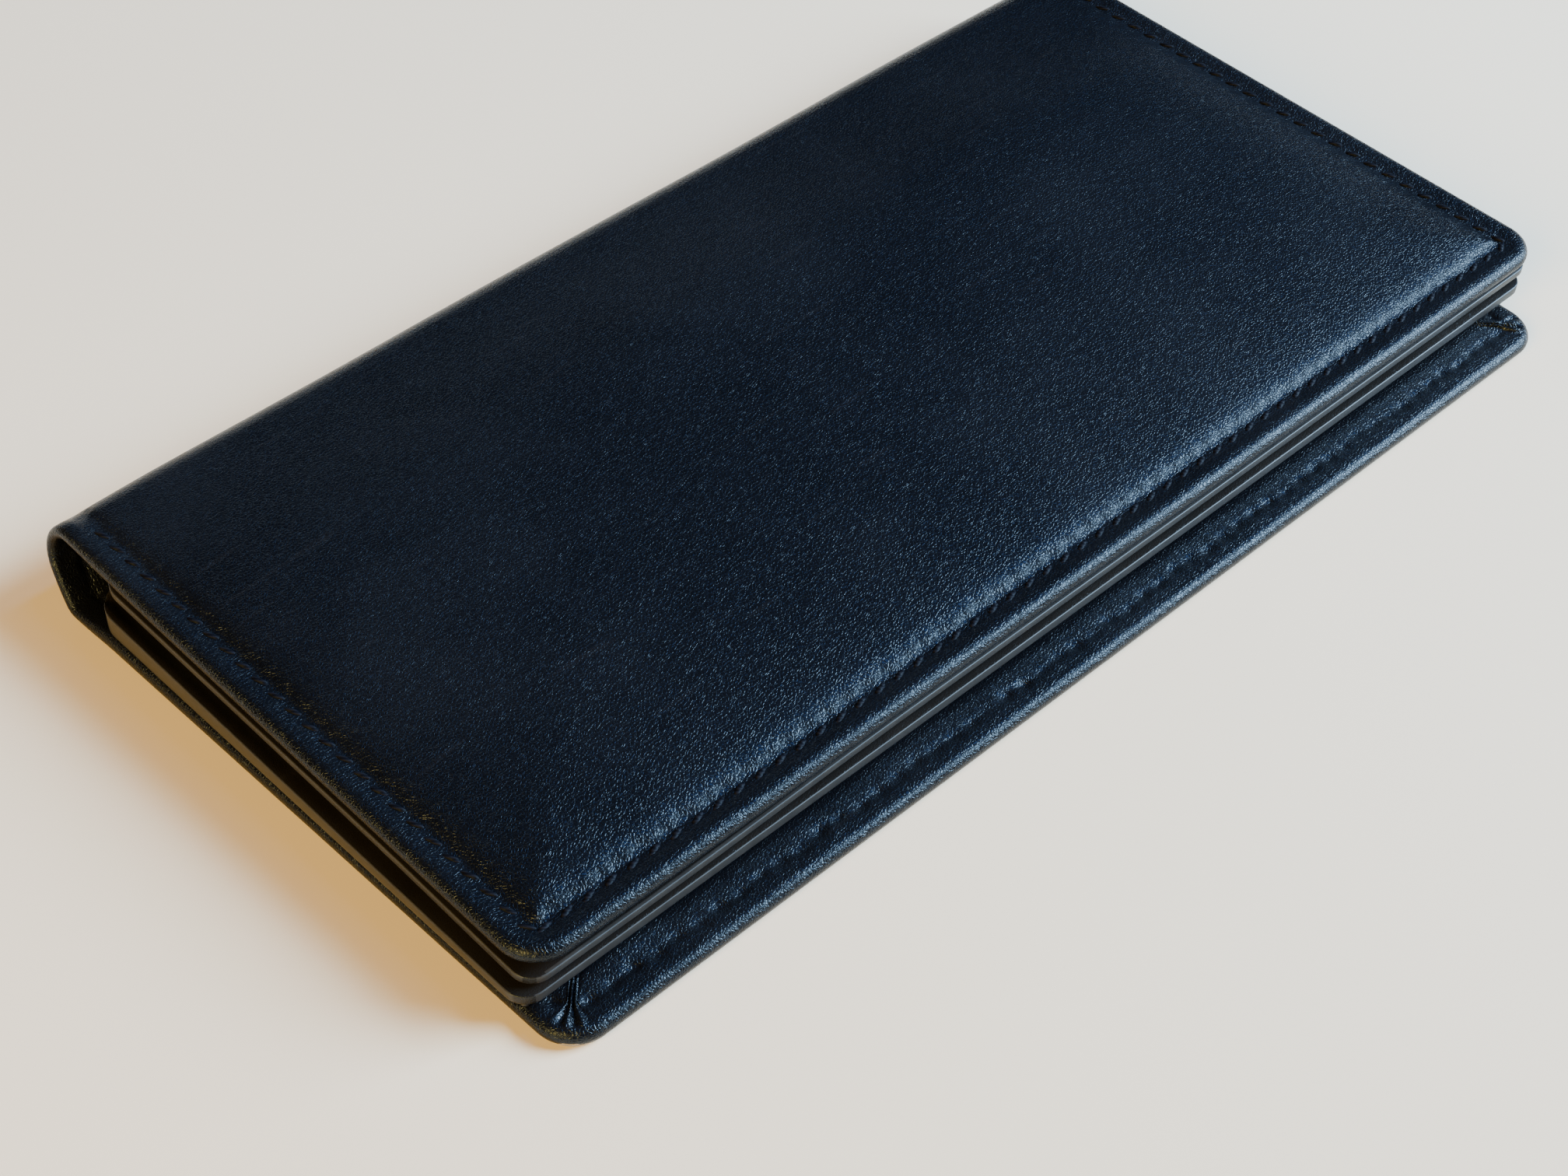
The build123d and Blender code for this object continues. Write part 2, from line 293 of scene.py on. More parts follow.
def makeTwillGroup():  # diagonal weave of a lining cloth
    group, given, result = nodeGroup(
        "twillWeave",
        [("Vector", "Vector", None), ("Threads", "Float", 3200.0)],
        [("Height", "Float"), ("Gaps", "Float")],
    )
    link = group.links.new
    turned = addNode(group, "Mapping")
    turned.inputs["Rotation"].default_value = (0, 0, radians(45))
    link(given.outputs["Vector"], turned.inputs["Vector"])
    ribs = addNode(group, "TexWave", wave_profile="SIN")
    ribs.inputs["Distortion"].default_value = 0.4
    ribs.inputs["Detail"].default_value = 1
    link(turned.outputs[0], ribs.inputs["Vector"])
    link(mathNode(group, "MULTIPLY", given.outputs["Threads"], 0.16), ribs.inputs["Scale"])
    fibres = addNode(group, "TexNoise")
    link(given.outputs["Vector"], fibres.inputs["Vector"])
    link(given.outputs["Threads"], fibres.inputs["Scale"])
    height = mathNode(group, "ADD", ribs.outputs[1], mathNode(group, "MULTIPLY", fibres.outputs[0], 0.4))
    link(height, result.inputs["Height"])
    link(mathNode(group, "SUBTRACT", 1.0, ribs.outputs[1]), result.inputs["Gaps"])
    return group


grainGroup = makeGrainGroup()
scuffGroup = makeScuffGroup()
twillGroup = makeTwillGroup()


def startMaterial(name):
    material = bpy.data.materials.new(name)
    material.use_nodes = True
    tree = material.node_tree
    shader = tree.nodes["Principled BSDF"]
    place = addNode(tree, "TexCoord").outputs["Object"]
    return material, tree, shader, place


def useGroup(tree, group, place, **values):
    node = addNode(tree, "Group", node_tree=group)
    tree.links.new(place, node.inputs["Vector"])
    for label, value in values.items():
        node.inputs[label].default_value = value
    return node.outputs


def colourMix(tree, mask, low, high):
    mix = addNode(tree, "Mix", data_type="RGBA")
    tree.links.new(mask, mix.inputs["Factor"])
    for name, value in (("A", low), ("B", high)):
        socket = [s for s in mix.inputs if s.name == name and s.type == "RGBA"][0]
        if isinstance(value, tuple):
            socket.default_value = (*value, 1)
        else:
            tree.links.new(value, socket)
    return [s for s in mix.outputs if s.type == "RGBA"][0]


def roughFrom(tree, shader, mask, spread, least):
    rough = mathNode(tree, "ADD", mathNode(tree, "MULTIPLY", mask, spread), least)
    tree.links.new(rough, shader.inputs["Roughness"])


def surfaceBump(tree, shader, height, strength, distance):
    bumpNode = addNode(tree, "Bump")
    bumpNode.inputs["Strength"].default_value = strength
    bumpNode.inputs["Distance"].default_value = distance
    tree.links.new(height, bumpNode.inputs["Height"])
    tree.links.new(bumpNode.outputs[0], shader.inputs["Normal"])


def leatherMaterial(name, finish):
    material, tree, shader, place = startMaterial(name)
    pebble, swell, creases = finish["pebble"], finish["swell"], finish["creases"]
    grain = useGroup(tree, grainGroup, place, Pebble=pebble, Swell=swell, Creases=creases)
    scuffs = useGroup(tree, scuffGroup, place, Density=finish["scuffs"])
    base = colourMix(tree, grain["Patches"], finish["dark"], finish["light"])
    worn = colourMix(tree, mathNode(tree, "MULTIPLY", scuffs["Rubbed"], 0.35), base, finish["rubbed"])
    marked = colourMix(tree, mathNode(tree, "MULTIPLY", scuffs["Scratches"], 0.3), worn, finish["scratch"])
    tree.links.new(marked, shader.inputs["Base Color"])
    rubbedRough = mathNode(tree, "MULTIPLY", scuffs["Rubbed"], finish["rubbedRough"])
    rough = mathNode(tree, "MULTIPLY", grain["Valleys"], finish["valleyRough"])
    rough = mathNode(tree, "ADD", mathNode(tree, "ADD", rough, finish["rough"]), rubbedRough)
    tree.links.new(rough, shader.inputs["Roughness"])
    shader.inputs["Specular IOR Level"].default_value = finish["specular"]
    # painted reflection: a fixed blue tint on the reflections stands in for the cool window light
    shader.inputs["Specular Tint"].default_value = (*finish["paintedWindowTint"], 1)
    cuts = mathNode(tree, "MULTIPLY", scuffs["Scratches"], 0.5)
    height = mathNode(tree, "SUBTRACT", grain["Height"], cuts)
    surfaceBump(tree, shader, height, finish["bump"], finish["bumpDepth"])
    return material


coverFinish = {
    "dark": (0.0016, 0.0019, 0.0032),
    "light": (0.0034, 0.0040, 0.0066),
    "rubbed": (0.0070, 0.0078, 0.0110),
    "scratch": (0.0350, 0.0350, 0.0400),
    "pebble": 2300,
    "swell": 160,
    "creases": 0.28,
    "scuffs": 0.2,
    "rough": 0.27,
    "valleyRough": 0.06,
    "rubbedRough": 0.04,
    "specular": 0.30,
    "paintedWindowTint": (0.64, 0.84, 1.0),   # painted reflection: the cool window light's blue, painted into the reflections as a fixed tint
    "bump": 0.62,
    "bumpDepth": 0.056 * mm,
}
innerFinish = dict(
    coverFinish,
    dark=(0.0060, 0.0056, 0.0054),
    light=(0.0120, 0.0108, 0.0100),
    rubbed=(0.0220, 0.0195, 0.0175),
    pebble=3200,
    creases=0.25,
    rough=0.28,
    bump=0.4,
    bumpDepth=0.05 * mm,
)
liningFinish = dict(
    coverFinish,
    dark=(0.0030, 0.0028, 0.0028),
    light=(0.0070, 0.0066, 0.0066),
    pebble=1500,
    swell=420,
    creases=1.2,
    rough=0.28,
    bump=0.9,
    bumpDepth=0.12 * mm,
)
coverLeather = leatherMaterial("coverLeather", coverFinish)
innerLeather = leatherMaterial("innerLeather", innerFinish)
liningLeather = leatherMaterial("liningLeather", liningFinish)


def threadMaterial():  # waxed thread, twisted along its length
    material, tree, shader, place = startMaterial("waxedThread")
    twist = addNode(tree, "TexWave", bands_direction="DIAGONAL")
    twist.inputs["Scale"].default_value = 700
    twist.inputs["Distortion"].default_value = 1.5
    tree.links.new(place, twist.inputs["Vector"])
    colour = colourMix(tree, twist.outputs[1], (0.002, 0.002, 0.004), (0.007, 0.007, 0.011))
    tree.links.new(colour, shader.inputs["Base Color"])
    roughFrom(tree, shader, twist.outputs[1], 0.1, 0.50)
    shader.inputs["Specular IOR Level"].default_value = 0.09
    # painted reflection: the same blue window tint painted into the thread's reflections
    shader.inputs["Specular Tint"].default_value = (*coverFinish["paintedWindowTint"], 1)
    surfaceBump(tree, shader, twist.outputs[1], 0.6, 0.08 * mm)
    return material


def clothMaterial():
    material, tree, shader, place = startMaterial("liningCloth")
    weave = useGroup(tree, twillGroup, place, Threads=3200)
    colour = colourMix(tree, weave["Gaps"], (0.022, 0.022, 0.025), (0.008, 0.008, 0.010))
    tree.links.new(colour, shader.inputs["Base Color"])
    roughFrom(tree, shader, weave["Gaps"], 0.15, 0.55)
    shader.inputs["Sheen Weight"].default_value = 0.15
    surfaceBump(tree, shader, weave["Height"], 0.6, 0.08 * mm)
    return material


def boardMaterial():
    material, tree, shader, place = startMaterial("stiffenerBoard")
    fibres = addNode(tree, "TexNoise")
    fibres.inputs["Scale"].default_value = 1200
    fibres.inputs["Detail"].default_value = 6
    tree.links.new(place, fibres.inputs["Vector"])
    colour = colourMix(tree, fibres.outputs[0], (0.20, 0.17, 0.13), (0.36, 0.32, 0.26))
    tree.links.new(colour, shader.inputs["Base Color"])
    roughFrom(tree, shader, fibres.outputs[0], 0.2, 0.7)
    surfaceBump(tree, shader, fibres.outputs[0], 0.4, 0.1 * mm)
    return material


thread = threadMaterial()
liningCloth = clothMaterial()
stiffenerBoard = boardMaterial()
print("materials made")


# The cover leather is one sheet for each half, turned over at its edges.
coverSpec = {
    "leather": 0.7 * mm,
    "cornerRadius": 5.5 * mm,
    "hemWidth": 8.0 * mm,
    "stitchInset": 3.7 * mm,
    "stitchCorner": 3.0 * mm,   # the rows begin this far past the corner
    "stitchPitch": 3.3 * mm,
    "columnsPerStitch": 4,
    "rowsPerStitch": 4,
    "channelDepth": 0.22 * mm,
    "lip": 0.17 * mm,
    "channelWidth": 0.42 * mm,
    "toothReach": 1.15 * mm,
    "puckerHeight": 0.02 * mm,
    "beadHeight": 0.16 * mm,
    "pitDepth": 0.55 * mm,
    "pitSize": 0.75 * mm,
    "lumps": 0.30 * mm,
    "spineThickness": 1.7 * mm,
    "hemCorner": 1.0 * mm,      # smallest corner radius of the turned hem
    "hemLift": 0.45 * mm,       # past about 0.6 mm it reaches the card slots
}
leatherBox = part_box("upper_cover_leather")
coverWidth = leatherBox[1].x - leatherBox[0].x
firstStitch = coverSpec["stitchInset"] + coverSpec["stitchCorner"]
frontRun = coverWidth - 2 * firstStitch
frontStitches = round(frontRun / coverSpec["stitchPitch"])
pitch = frontRun / frontStitches
halves = {
    "lower": {
        "length": spineMiddle,
        "foldStart": marks[0],
        "thickness": 2.5 * mm,
        "crown": 0.0,
        "pleats": 0.30 * mm,
    },
    "upper": {
        "length": wholeRun - spineMiddle,
        "foldStart": wholeRun - marks[3],
        "thickness": 2.15 * mm,
        "crown": 1.75 * mm,
        "pleats": 0.18 * mm,
    },
}


def lineOf(half, u):  # distance from a half's front edge to distance along the leather line
    return u if half == "lower" else wholeRun - u


def edgeStops(roll):  # distances from an edge where the sheet has a row of points
    rounded = [roll * (1 - cos(step * pi / 10)) for step in range(5)]
    step = 0.37 * mm
    count = int((firstStitch - 0.6 * mm - roll) / step)
    return rounded + [roll + step * index for index in range(count + 1)]


def thicknessAt(half, u):  # thinner where there is no board
    spec = halves[half]
    blend = smooth((u - spec["foldStart"] + 9 * mm) / (8 * mm))
    return spec["thickness"] + (coverSpec["spineThickness"] - spec["thickness"]) * blend


def roundCorner(a, b, radius):  # moves a point of a square corner onto a round one
    if a >= radius or b >= radius:
        return a, b
    p, q = (radius - a) / radius, (radius - b) / radius
    return radius * (1 - p * sqrt(1 - q * q / 2)), radius * (1 - q * sqrt(1 - p * p / 2))


def edgeDistance(a, b, radius):
    if a < radius and b < radius:
        return radius - hypot(radius - a, radius - b)
    return min(a, b)


def stitchPhase(a, b, x, u):  # 0 to 1 along each stitch of the nearer row
    along = x + frontRun / 2 if b < a else u - firstStitch
    return (along / pitch) % 1.0


def seamRelief(d, phase, side):  # the bead, the channel, and its inner wall bitten by each stitch
    inset = coverSpec["stitchInset"]
    tooth = 1 - phase if side > 0 else phase
    inner = inset + coverSpec["channelWidth"] + coverSpec["toothReach"] * tooth
    fall = smooth((d - inset * 0.45) / (inner - inset * 0.45))
    rise = smooth((d - inner) / (1.9 * mm))
    lip = smooth((d - inner) / (0.4 * mm))
    relief = -fall * (coverSpec["channelDepth"] * (1 - rise) + coverSpec["lip"] * (1 - lip))
    relief += coverSpec["puckerHeight"] * tooth * ridge(d, inner + 1.0 * mm, 0.5 * mm)
    relief += coverSpec["beadHeight"] * ridge(d, inset * 0.42, 1.0 * mm)
    return relief


def pitRelief(x, u, d, phase):  # on the turned side the thread is pulled down into pits
    jitter = 0.55 * mm * wander(x, u, 4 * mm, 6.6)
    across, along = d - coverSpec["stitchInset"] - jitter, (phase - round(phase)) * pitch
    pit = exp(-((across / coverSpec["pitSize"]) ** 2) - (along / coverSpec["pitSize"]) ** 2)
    pit *= 0.75 + 0.6 * wander(x + u, 0, 5 * mm, 1.3)
    near = ridge(d, coverSpec["stitchInset"], 1.7 * mm)
    lumps = abs(wander(x, u + d, 1.5 * mm, 2.9)) + 0.6 * abs(wander(x + d, u, 0.8 * mm, 7.1)) - 0.4
    furrow = 0.07 * mm * ridge(d, coverSpec["stitchInset"] + jitter, 0.6 * mm)
    return near * coverSpec["lumps"] * lumps - coverSpec["pitDepth"] * pit - furrow


def crownAt(half, x, u, d):  # the padded swell inside the stitching
    spec = halves[half]
    if spec["crown"] == 0:
        return 0.0
    inside = max(d - 4.2 * mm, 0.0)
    swell = spec["crown"] * (1 - 0.33 * exp(-inside / (4 * mm)) - 0.67 * exp(-inside / (13 * mm)))
    toSpine = smooth((u - spec["foldStart"] + 26 * mm) / (30 * mm))
    swell *= 1 - 0.85 * toSpine
    slow = 0.22 * mm * wander(x, u, 38 * mm, 3.1) * smooth(inside / (12 * mm))
    return swell + slow


def outsideHeight(half, x, u, a, b):
    roll = thicknessAt(half, u) / 2
    d = edgeDistance(a, b, coverSpec["cornerRadius"])
    seam = 1 - smooth((u - halves[half]["foldStart"] - 1.5 * mm) / (3 * mm))
    height = seam * seamRelief(d, stitchPhase(a, b, x, u), 1) + crownAt(half, x, u, d)
    if half == "lower":
        height = min(height, 0.0)
    if d < roll:
        height -= roll - sqrt(max(roll * roll - (roll - d) ** 2, 0.0))
    return height


def outlinePlace(record, inset):  # plan place of a point of the outline, moved inwards
    kind, side, along = record
    radius = coverSpec["cornerRadius"]
    inner = max(radius - inset, coverSpec["hemCorner"])
    halfWidth = coverWidth / 2
    if kind == "corner":
        reach = inset + inner
        return side * (halfWidth - reach + inner * cos(along)), reach - inner * sin(along)
    push = inset + inner - radius
    if kind == "end":
        u = along + push * (1 - smooth((along - radius) / (14 * mm)))
        return side * (halfWidth - inset), u
    fromEnd = halfWidth - abs(along)
    x = halfWidth - fromEnd - push * (1 - smooth((fromEnd - radius) / (14 * mm)))
    return (x if along > 0 else -x), inset


def pleatAt(half, record, d):
    kind, side, along = record
    if kind != "corner":
        return 0.0
    wave = sin(along * 13 + side * 0.8) * sin(along * 2)
    reach = smooth((d - 0.3 * mm) / (1.5 * mm)) * (1 - smooth((d - 5 * mm) / (3 * mm)))
    return halves[half]["pleats"] * wave * reach


def hemLift(half, x):  # the hem's inner edge stands up a little beside a corner
    if half == "upper":
        return 0.0
    return coverSpec["hemLift"] * ridge(x, -coverWidth / 2 + 15 * mm, 5 * mm)


def hemStops(roll):
    stops = edgeStops(roll)[5:]
    last = stops[-1]
    return stops + [last + (coverSpec["hemWidth"] - last) * share for share in (0.35, 0.7, 0.93, 1.0)]


def hemHeight(half, record, x, u, d):  # the turned leather seen from the inside of the cover
    phase = stitchPhase(1, 0, x, u) if record[0] == "front" else stitchPhase(0, 1, x, u)
    relief = pitRelief(x, u, d, phase if record[0] != "corner" else 0.65)
    relief += pleatAt(half, record, d)
    edge = smooth((d - coverSpec["hemWidth"] + 1.2 * mm) / (1.2 * mm))
    relief -= 0.12 * mm * edge
    relief += hemLift(half, x) * smooth((d - 4.6 * mm) / (3.0 * mm)) * (record[0] == "front")
    relief += 0.08 * mm * wander(x, u, 7 * mm, 5.5)
    return -thicknessAt(half, u) - relief


def gridRowsAndColumns(bm, columns, rows):  # a grid whose lines are where the lists say
    bmesh.ops.create_grid(bm, x_segments=len(columns) - 1, y_segments=len(rows) - 1, size=0.5)
    places = {}
    for vert in bm.verts:
        column = round((vert.co.x + 0.5) * (len(columns) - 1))
        row = round((vert.co.y + 0.5) * (len(rows) - 1))
        places[vert] = (columns[column], rows[row])
    return places


def coverLines(half):
    spec = halves[half]
    border = edgeStops(spec["thickness"] / 2)
    step = pitch / coverSpec["columnsPerStitch"]
    innerCount = frontStitches * coverSpec["columnsPerStitch"]
    columns = [stop - coverWidth / 2 for stop in border]
    columns += [-frontRun / 2 + index * step for index in range(innerCount + 1)]
    columns += [coverWidth / 2 - stop for stop in reversed(border)]
    remaining = spec["length"] - firstStitch
    count = round(remaining / pitch * coverSpec["rowsPerStitch"])
    rows = border + [firstStitch + index * remaining / count for index in range(count + 1)]
    return columns, rows


def outlineRecord(x, u, a, b):
    radius = coverSpec["cornerRadius"]
    side = 1 if x > 0 else -1
    if a < radius and b < radius:
        cornerA, cornerB = roundCorner(a, b, radius)
        return ("corner", side, atan2(radius - cornerB, radius - cornerA))
    return ("end", side, u) if a < b else ("front", 0, x)


def coverSheet(half):
    spec = halves[half]
    columns, rows = coverLines(half)
    bm = bmesh.new()
    places = gridRowsAndColumns(bm, columns, rows)
    flat, records = {}, {}
    for vert, (x, u) in places.items():
        a, b = coverWidth / 2 - abs(x), u
        if a < 1e-9 or b < 1e-9:
            records[vert] = outlineRecord(x, u, a, b)
        a, b = roundCorner(a, b, coverSpec["cornerRadius"])
        x = (coverWidth / 2 - a) * (1 if x > 0 else -1)
        flat[vert] = (x, b, outsideHeight(half, x, b, a, b))
    edges = [e for e in bm.edges if e.is_boundary and all(v in records for v in e.verts)]
    profile = [("roll", step * pi / 10) for step in range(1, 6)]
    profile += [("hem", stop) for stop in hemStops(spec["thickness"] / 2)[1:]]
    for kind, amount in profile:
        made = bmesh.ops.extrude_edge_only(bm, edges=edges)["geom"]
        newVerts = [item for item in made if isinstance(item, bmesh.types.BMVert)]
        fresh = set(newVerts)
        nextRecords = {}
        for vert in newVerts:
            source = [e.other_vert(vert) for e in vert.link_edges if e.other_vert(vert) in records][0]
            record = records[source]
            nextRecords[vert] = record
            roll = thicknessAt(half, flat[source][1]) / 2
            inset = roll * (1 - cos(amount)) if kind == "roll" else amount
            x, u = outlinePlace(record, inset)
            if kind == "roll":
                height = -roll - roll * sin(amount)
            else:
                height = hemHeight(half, record, x, u, inset)
            flat[vert] = (x, u, height)
        edges = [e for e in made if isinstance(e, bmesh.types.BMEdge) and all(v in fresh for v in e.verts)]
        records = nextRecords
    for vert, (x, u, height) in flat.items():
        vert.co = coverPoint(x, lineOf(half, u), height)
    bmesh.ops.recalc_face_normals(bm, faces=bm.faces)
    middle = coverPoint(0, lineOf(half, 40 * mm), 0)
    nearest = min(bm.faces, key=lambda face: (face.calc_center_median() - middle).length)
    if nearest.normal.z * (1 if half == "upper" else -1) < 0:
        bmesh.ops.reverse_faces(bm, faces=bm.faces)
    piece = newPiece(bm, half + "_cover_skin", coverLeather, "cover_leather")
    solid = piece.modifiers.new("thickness", "SOLIDIFY")
    solid.thickness = coverSpec["leather"]
    solid.offset = -1
    applyModifiers(piece)
    finishShading(piece, 60)
    return piece


def blendLower(piece):
    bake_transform(piece)


def blendUpper(piece):
    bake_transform(piece)


lowerSkin = coverSheet("lower")
upperSkin = coverSheet("upper")
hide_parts("lower_cover_leather")
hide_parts("upper_cover_leather", "spine_leather")
blendLower(lowerSkin)
blendUpper(upperSkin)
print("cover leather made,", len(upperSkin.data.polygons), "and", len(lowerSkin.data.polygons), "faces")


stitchSpec = {
    "length": 2.95 * mm,
    "radius": 0.42 * mm,
    "flatness": 0.75,
    "slant": radians(22),
    "dip": 0.26 * mm,       # how far a stitch's ends go down into their holes
    "sink": 0.32 * mm,      # middle of the thread under the leather's surface
    "hemSink": 0.48 * mm,
    "around": 8,
    "along": 8,
}


def threadStitch(bm, place, length, sink, outward=1.0):  # place is x, u and direction in flat leather
    x, u, direction = place
    radius = stitchSpec["radius"]
    size = Matrix.Diagonal((length / 2, radius, radius * stitchSpec["flatness"], 1))
    slant = Matrix.Rotation(direction + stitchSpec["slant"] * outward, 4, "Z")
    turned = slant @ size @ Matrix.Rotation(pi / 2, 4, "Y")
    around, along = stitchSpec["around"], stitchSpec["along"]
    made = bmesh.ops.create_uvsphere(bm, u_segments=around, v_segments=along, radius=1, matrix=turned)
    for vert in made["verts"]:
        share = Vector((vert.co.x, vert.co.y)).length / (length / 2)
        height = vert.co.z - sink - stitchSpec["dip"] * share**3
        vert.co = Vector((x + vert.co.x, u + vert.co.y, height * outward))
    return made["verts"]


def rowPlaces(half):  # where each stitch of a cover lies in plan, and which way it points
    inset = coverSpec["stitchInset"]
    places = [(-frontRun / 2 + (index + 0.5) * pitch, inset, 0.0) for index in range(frontStitches)]
    sideCount = floor((halves[half]["foldStart"] + 1.5 * mm - firstStitch) / pitch)
    for side in (-1, 1):
        x = side * (coverWidth / 2 - inset)
        places += [(x, firstStitch + (index + 0.5) * pitch, pi / 2) for index in range(sideCount)]
        radius = coverSpec["cornerRadius"] - inset
        for angle in (radians(12), radians(78)):
            cornerX = coverWidth / 2 - coverSpec["cornerRadius"] + radius * cos(angle)
            cornerU = coverSpec["cornerRadius"] - radius * sin(angle)
            places.append((side * cornerX, cornerU, side * (pi / 2 - angle)))
    return places


def coverStitching(half):
    bm = bmesh.new()
    for place in rowPlaces(half):
        x, u, direction = place
        edge = min(coverWidth / 2 - abs(x), u)
        crown = crownAt(half, x, u, edge)
        for vert in threadStitch(bm, place, stitchSpec["length"], stitchSpec["sink"]):
            vert.co = coverPoint(vert.co.x, lineOf(half, vert.co.y), vert.co.z + crown)
        for vert in threadStitch(bm, place, stitchSpec["length"] * 0.8, stitchSpec["hemSink"], -1.0):
            vert.co = coverPoint(vert.co.x, lineOf(half, vert.co.y), vert.co.z - thicknessAt(half, u))
    bmesh.ops.recalc_face_normals(bm, faces=bm.faces)
    piece = newPiece(bm, half + "_cover_thread", thread, "thread", 80)
    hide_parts(half + "_cover_stitching")
    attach(piece, half + "_cover")
    return piece


coverStitching("lower")
coverStitching("upper")
print("stitching made")


liningSpec = {
    "inset": 2.6 * mm,
    "thickness": 0.24 * mm,
    "coverDepth": 1.16 * mm,    # under leather and board
    "spineDepth": 0.74 * mm,
    "step": 1.3 * mm,
    "wrinkle": 0.55 * mm,
}


def liningHeight(half, x, u):
    spec = halves[half]
    nearSpine = smooth((u - spec["foldStart"] - 0.3 * mm) / (3 * mm))
    depth = liningSpec["coverDepth"] + (liningSpec["spineDepth"] - liningSpec["coverDepth"]) * nearSpine
    fromEnd = coverWidth / 2 - abs(x)
    free = smooth((fromEnd - 8.5 * mm) / (4 * mm)) * nearSpine
    folded = smooth((u - spec["foldStart"]) / (2 * mm)) * abs(wander(x, u * 2.2, 6 * mm, 1.7))
    wrinkles = folded + 0.5 * abs(wander(x, u, 2.4 * mm, 8.2))
    return -depth - liningSpec["thickness"] - liningSpec["wrinkle"] * free * wrinkles


def liningSheet(half):
    width = coverWidth - 2 * liningSpec["inset"]
    start, end = liningSpec["inset"], halves[half]["length"]
    columnCount, rowCount = round(width / liningSpec["step"]), round((end - start) / liningSpec["step"])
    columns = [-width / 2 + index * width / columnCount for index in range(columnCount + 1)]
    rows = [start + index * (end - start) / rowCount for index in range(rowCount + 1)]
    bm = bmesh.new()
    for vert, (x, u) in gridRowsAndColumns(bm, columns, rows).items():
        vert.co = coverPoint(x, lineOf(half, u), liningHeight(half, x, u))
    bmesh.ops.recalc_face_normals(bm, faces=bm.faces)
    inward = 1 if half == "lower" else -1
    if bm.faces[:][len(bm.faces) // 4].normal.z * inward < 0:
        bmesh.ops.reverse_faces(bm, faces=bm.faces)
    piece = newPiece(bm, half + "_inside_lining", liningLeather, "lining_leather")
    solid = piece.modifiers.new("thickness", "SOLIDIFY")
    solid.thickness = liningSpec["thickness"]
    solid.offset = -1
    applyModifiers(piece)
    finishShading(piece, 50)
    return piece


lowerLining = liningSheet("lower")
upperLining = liningSheet("upper")
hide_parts("lower_cover_lining")
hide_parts("upper_cover_lining", "spine_lining")
blendLower(lowerLining)
blendUpper(upperLining)
print("linings made")


def panelStops(length, startRadius, endRadius, step):  # closer together over the round corners
    first = [startRadius * index / 6 for index in range(6)]
    last = [length - endRadius * index / 6 for index in reversed(range(6))]
    count = max(round((length - startRadius - endRadius) / step), 2)
    run = length - startRadius - endRadius
    middle = [startRadius + index * run / count for index in range(count + 1)]
    return first + middle + last


def roundedGrid(bm, width, depth, frontRadius, mouthRadius, step):
    radius = max(frontRadius, mouthRadius)
    columns = [stop - width / 2 for stop in panelStops(width, radius, radius, step)]
    rows = panelStops(depth, frontRadius, mouthRadius, step)
    for vert, (x, u) in gridRowsAndColumns(bm, columns, rows).items():
        a, b, c = width / 2 - abs(x), u, depth - u
        side = 1 if x > 0 else -1
        if b < c:
            a, b = roundCorner(a, b, frontRadius)
            vert.co = Vector((side * (width / 2 - a), b, 0))
        else:
            a, c = roundCorner(a, c, mouthRadius)
            vert.co = Vector((side * (width / 2 - a), depth - c, 0))


# A panel is made flat with its top at height 0, bent by shape, and put where place says.
def makePanel(name, spec, shape, place, looks):
    bm = bmesh.new()
    roundedGrid(bm, spec["width"], spec["depth"], spec["frontRadius"], spec["mouthRadius"], spec["step"])
    piece = newPiece(bm, name, looks["material"], looks["slot"])
    piece.data.materials.append(looks["edge"])
    solid = piece.modifiers.new("thickness", "SOLIDIFY")
    solid.thickness = spec["thickness"]
    solid.offset = -1
    solid.material_offset_rim = 1
    rounding = piece.modifiers.new("edge", "BEVEL")
    rounding.width = spec["thickness"] * spec.get("rounding", 0.32)
    rounding.segments = 3
    rounding.limit_method = "ANGLE"
    rounding.angle_limit = radians(60)
    applyModifiers(piece)
    for polygon in piece.data.polygons:
        x, u, _ = polygon.center
        rim = min(spec["width"] / 2 - abs(x), u, spec["depth"] - u) < spec["thickness"] * 0.34
        polygon.material_index = 1 if rim else 0
    for vert in piece.data.vertices:
        x, u, height = vert.co
        inside = min(spec["width"] / 2 - abs(x), u, spec["depth"] - u)
        level = 2 * height / spec["thickness"]
        under = smooth(-level - 0.9) * (1 - smooth((inside - 0.9 * mm) / (1.0 * mm)))
        over = smooth(level + 1.9) * (1 - smooth((inside - 0.9 * mm) / (1.4 * mm)))
        drop = spec.get("rimDrop", 0.0) + spec.get("spineDrop", 0.0) * u / spec["depth"]
        rise = spec.get("spineRise", 0.0) * (u / spec["depth"]) ** 1.5
        vert.co = place(x, u, height + shape(x, u) - drop * under + rise * over)
    finishShading(piece, 70)
    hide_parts(*looks["replaces"])
    return piece


def paintedEdge():  # burnished and painted cut edges
    material, tree, shader, place = startMaterial("paintedEdge")
    streaks = addNode(tree, "TexNoise")
    streaks.inputs["Scale"].default_value = 500
    streaks.inputs["Detail"].default_value = 3
    tree.links.new(place, streaks.inputs["Vector"])
    colour = colourMix(tree, streaks.outputs[0], (0.014, 0.013, 0.0125), (0.034, 0.031, 0.028))
    tree.links.new(colour, shader.inputs["Base Color"])
    roughFrom(tree, shader, streaks.outputs[0], 0.2, 0.36)
    # painted reflection: the same blue window tint painted into the edges' reflections
    shader.inputs["Specular Tint"].default_value = (*coverFinish["paintedWindowTint"], 1)
    surfaceBump(tree, shader, streaks.outputs[0], 0.3, 0.05 * mm)
    return material


